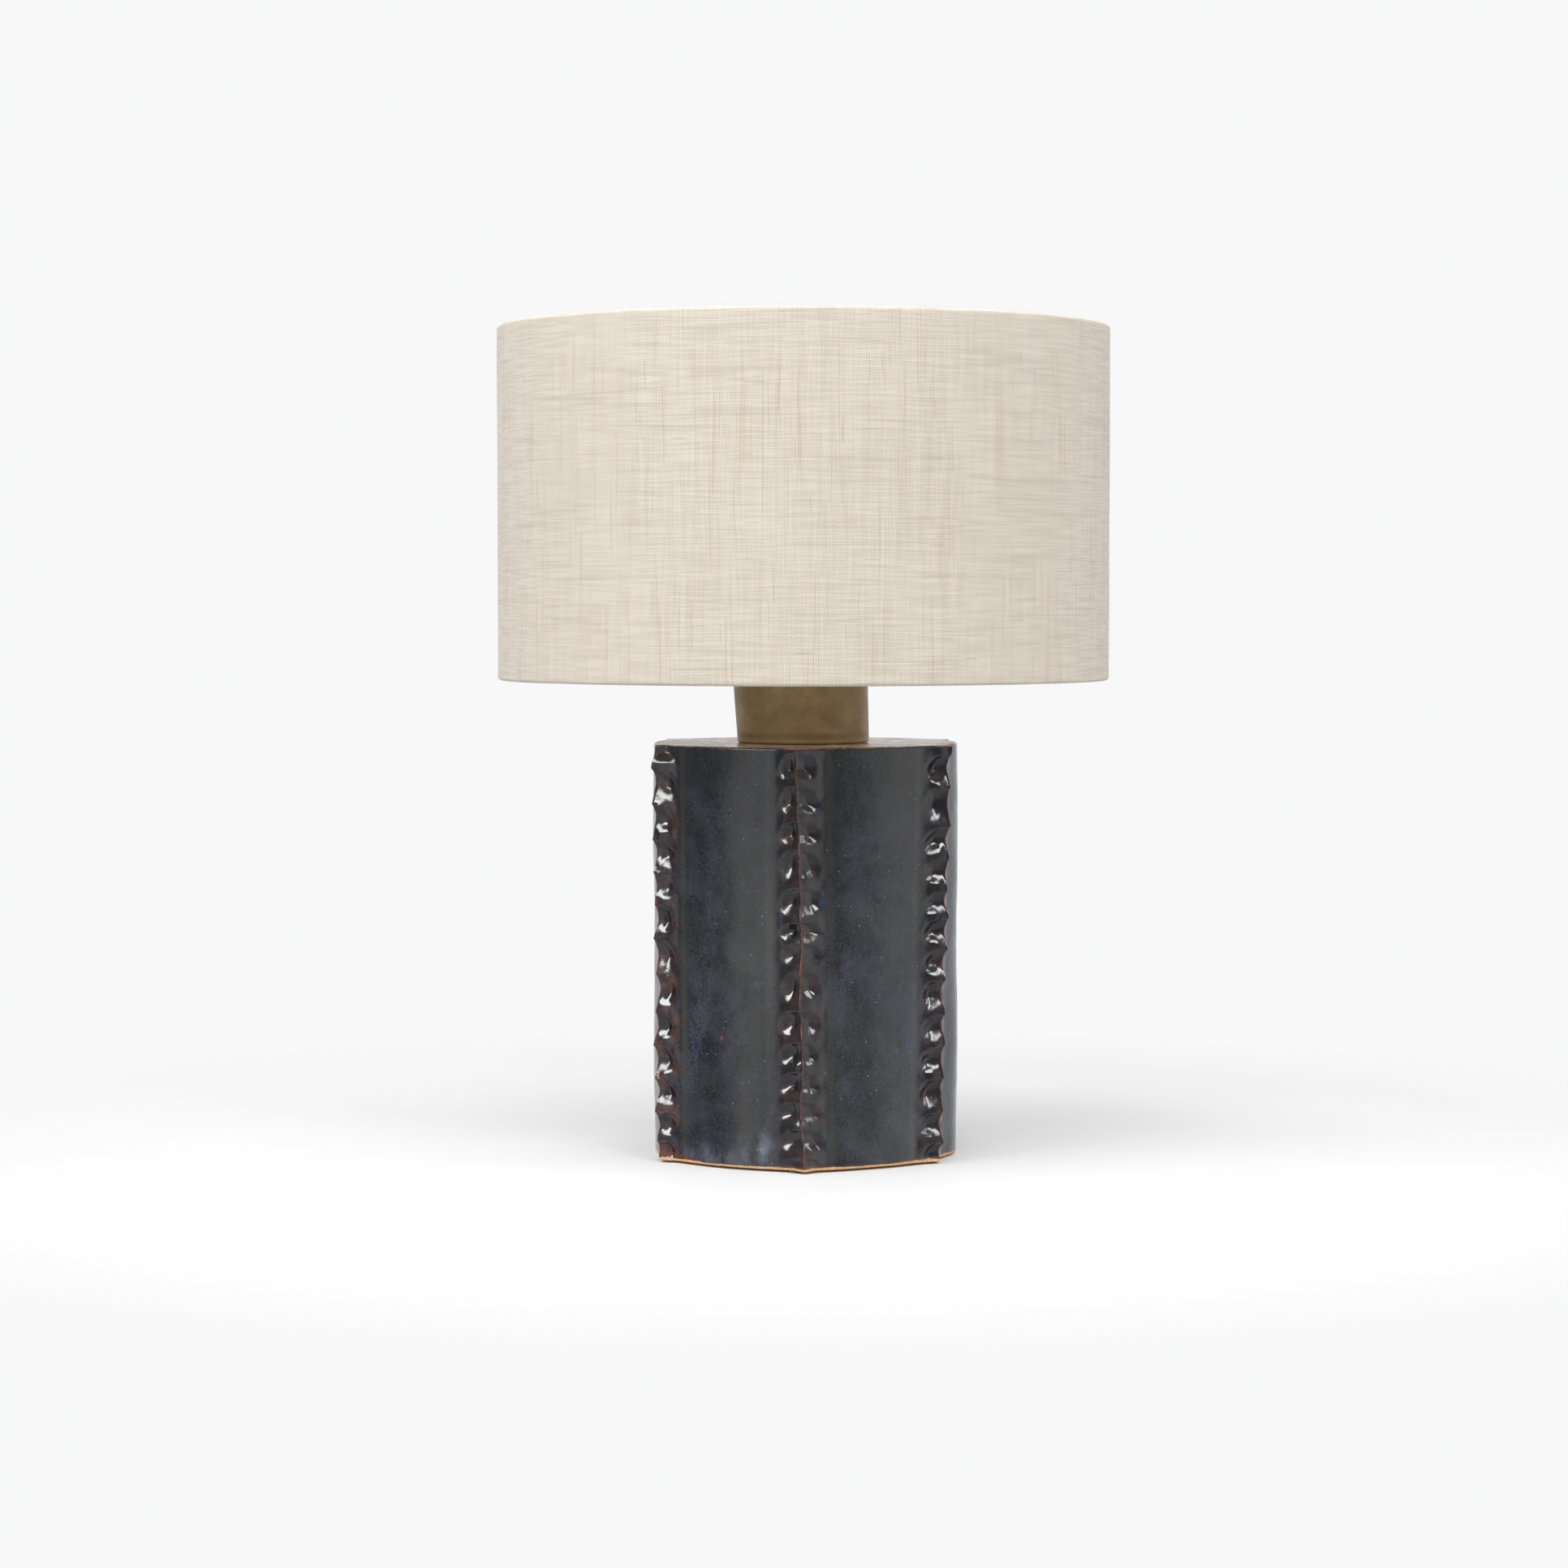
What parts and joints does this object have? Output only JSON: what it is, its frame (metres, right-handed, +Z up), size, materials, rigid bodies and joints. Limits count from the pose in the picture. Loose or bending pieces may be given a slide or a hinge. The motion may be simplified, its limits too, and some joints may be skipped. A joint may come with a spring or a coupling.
{
  "type": "table lamp with shade",
  "caption": "Stoneware table lamp: a hexagonal slab-built base with crimped corner ridges, a round neck, a lampholder with a bulb and a linen drum shade.",
  "frame": {"origin": "on the surface the lamp stands on, under the shade's axis", "axes": "+Z up along the lamp tube, -Y towards the base's front ridge, +X towards the switch knob"},
  "size_m": [0.4, 0.4, 0.541],
  "materials": {
    "dark_glaze": "glossy blue-black glaze breaking brown on the edges",
    "slab_glaze": "glossy beige glaze with darker streaks",
    "neck_glaze": "satin olive-brown glaze",
    "felt": "dark felt",
    "rubber": "matt black rubber",
    "zinc_steel": "zinc plated",
    "plate_brass": "satin brass",
    "holder_plastic": "white thermoset",
    "porcelain": "white porcelain",
    "contact_brass": "bare brass",
    "nickel": "nickel plated",
    "bulb_contact": "solder",
    "black_glass": "black vitrite",
    "clear_glass": "clear glass",
    "filament": "yellow phosphor",
    "linen": "cream linen weave with grey and tan slubs",
    "liner_film": "white film",
    "white_wire": "white powder coat"
  },
  "bodies": {
    "base": {"wall_panel_front_left": "dark_glaze", "wall_panel_front_right": "dark_glaze", "wall_panel_left": "dark_glaze", "wall_panel_right": "dark_glaze", "wall_panel_back_left": "dark_glaze", "wall_panel_back_right": "dark_glaze", "top_slab": "slab_glaze", "neck_collar": "neck_glaze", "felt_pads": "felt", "cable_grommet": "rubber", "cross_bar": "zinc_steel", "lower_washer": "zinc_steel", "lower_nut": "zinc_steel", "upper_nut": "zinc_steel", "lamp_tube": "zinc_steel", "grub_screw": "zinc_steel", "cap_plate": "plate_brass", "holder_cap": "holder_plastic", "holder_skirt": "holder_plastic", "lower_shade_ring": "holder_plastic", "contact_block": "porcelain", "terminal_screws": "contact_brass", "centre_contact": "contact_brass", "side_contact": "contact_brass", "screw_shell": "nickel"},
    "switch": {"switch_shaft": "contact_brass", "switch_knob": "holder_plastic"},
    "bulb_foot": {"bulb_tip": "bulb_contact", "bulb_insulator": "black_glass"},
    "bulb": {"bulb_screw_cap": "nickel", "bulb_glass": "clear_glass", "bulb_stem": "clear_glass", "bulb_filaments": "filament"},
    "clamp_ring": {"upper_shade_ring": "holder_plastic"},
    "shade": {"shade_fabric": "linen", "shade_liner": "liner_film", "upper_wire_ring": "white_wire", "lower_wire_ring": "white_wire", "fitter_ring": "white_wire", "spider_arms": "white_wire"}
  },
  "joints": [
    {"name": "switch_turn", "type": "hinge", "parent": "base", "child": "switch", "pos_m": [0.024, 0, 0.3355], "axis": [1, 0, 0], "continuous": true},
    {"name": "bulb_climb", "type": "slide", "parent": "base", "child": "bulb_foot", "axis": [0, 0, 1], "range_m": [0, 0.01816]},
    {"name": "bulb_turn", "type": "hinge", "parent": "bulb_foot", "child": "bulb", "pos_m": [0, 0, 0.37], "axis": [0, 0, 1], "range_deg": [0, 1800]},
    {"name": "clamp_ring_climb", "type": "slide", "parent": "base", "child": "clamp_ring", "axis": [0, 0, 1], "range_m": [0, 0.017]},
    {"name": "shade_turn", "type": "hinge", "parent": "base", "child": "shade", "pos_m": [0, 0, 0.352], "axis": [0, 0, 1], "continuous": true}
  ],
  "couplings": [
    {"joint": "bulb_climb", "follows": "bulb_turn", "m_per_rad": 0.00057773}
  ]
}
